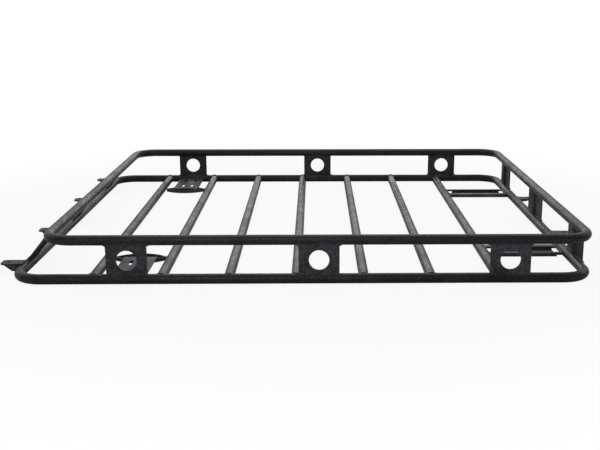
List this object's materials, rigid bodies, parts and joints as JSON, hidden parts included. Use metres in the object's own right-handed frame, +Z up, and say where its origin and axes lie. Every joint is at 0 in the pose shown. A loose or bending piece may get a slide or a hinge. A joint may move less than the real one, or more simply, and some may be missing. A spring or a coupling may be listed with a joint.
{
  "type": "roof rack basket",
  "caption": "Flat open roof basket of round tube: two loops joined by plates with round holes, crossbar floor, lamp tabs, pressed feet and rear channels.",
  "frame": {"origin": "middle of the overall box in length and width, on the level that the lower loop rests on", "axes": "-X points to the vehicle's front, +X to its rear, +Y to its right side, +Z up"},
  "size_m": [1.616, 1.3716, 0.1305],
  "materials": {
    "loop_coat": "textured matte black powder coat",
    "bar_coat": "textured matte black powder coat",
    "plate_coat": "textured matte black powder coat"
  },
  "bodies": {
    "root": {"lower_rail_left": "loop_coat", "lower_rail_right": "loop_coat", "lower_front_tube": "loop_coat", "lower_rear_tube": "loop_coat", "lower_bend_front_left": "loop_coat", "lower_bend_front_right": "loop_coat", "lower_bend_rear_left": "loop_coat", "lower_bend_rear_right": "loop_coat", "upper_rail_left": "loop_coat", "upper_rail_right": "loop_coat", "upper_front_tube": "loop_coat", "upper_rear_tube": "loop_coat", "upper_bend_front_left": "loop_coat", "upper_bend_front_right": "loop_coat", "upper_bend_rear_left": "loop_coat", "upper_bend_rear_right": "loop_coat", "crossbar_1": "bar_coat", "crossbar_2": "bar_coat", "crossbar_3": "bar_coat", "crossbar_4": "bar_coat", "crossbar_5": "bar_coat", "crossbar_6": "bar_coat", "crossbar_7": "bar_coat", "side_plate_left_1": "plate_coat", "side_plate_left_2": "plate_coat", "side_plate_left_3": "plate_coat", "side_plate_right_1": "plate_coat", "side_plate_right_2": "plate_coat", "side_plate_right_3": "plate_coat", "rear_plate_left": "plate_coat", "rear_plate_middle": "plate_coat", "rear_plate_right": "plate_coat", "front_plate_left": "plate_coat", "front_plate_middle": "plate_coat", "front_plate_right": "plate_coat", "lamp_tab_1": "plate_coat", "lamp_tab_2": "plate_coat", "lamp_tab_3": "plate_coat", "lamp_tab_4": "plate_coat", "rear_tab_left": "plate_coat", "rear_tab_right": "plate_coat", "front_foot_left": "plate_coat", "front_foot_right": "plate_coat", "rear_channel_left": "plate_coat", "rear_channel_right": "plate_coat"}
  },
  "joints": []
}
